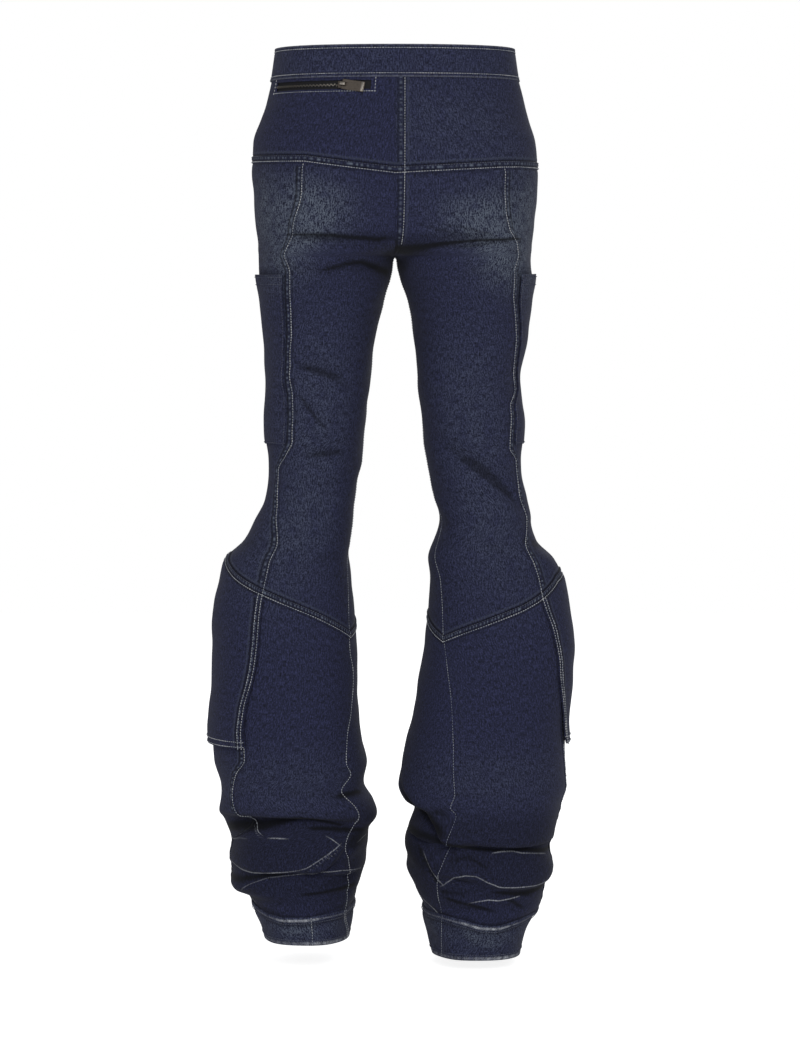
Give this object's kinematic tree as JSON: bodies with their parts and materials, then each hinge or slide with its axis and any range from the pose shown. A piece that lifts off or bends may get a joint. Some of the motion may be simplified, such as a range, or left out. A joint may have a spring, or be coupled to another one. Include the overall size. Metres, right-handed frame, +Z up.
{
  "type": "flared jeans",
  "caption": "Hollow worn pair of denim jeans, slim to the knee and flared below, stacked in folds over the hem, with side pockets, calf flaps and a zip in the yoke.",
  "frame": {"origin": "centre of the waist opening, at the middle of the waistband's height", "axes": "+Z up, +Y the way the wearer faces, +X the wearer's right"},
  "size_m": [0.4585, 0.2599, 1.1261],
  "materials": {
    "denim": "dark indigo stretch denim, faded at the seat and on fold ridges",
    "zip_tape": "black woven tape",
    "zip_metal": "dark nickel plate"
  },
  "bodies": {
    "garment": {"waistband": "denim", "fly_placket": "denim", "yoke_left": "denim", "upper_back_left": "denim", "upper_side_left": "denim", "upper_front_left": "denim", "thigh_pocket_left": "denim", "calf_back_left": "denim", "calf_side_left": "denim", "calf_front_left": "denim", "calf_flap_left": "denim", "hem_band_left": "denim", "yoke_right": "denim", "upper_back_right": "denim", "upper_side_right": "denim", "upper_front_right": "denim", "thigh_pocket_right": "denim", "calf_back_right": "denim", "calf_side_right": "denim", "calf_front_right": "denim", "calf_flap_right": "denim", "hem_band_right": "denim", "zip_tape": "zip_tape", "zip_chain": "zip_metal", "zip_slider": "zip_metal", "waist_button": "zip_metal"},
    "pull_tab": {"zip_pull": "zip_metal"}
  },
  "joints": [
    {"name": "pull_swing", "type": "hinge", "parent": "garment", "child": "pull_tab", "pos_m": [-0.06354, -0.11007, -0.02892], "axis": [-0.1827, -0.1843, -0.9657], "range_deg": [0, 165]}
  ]
}
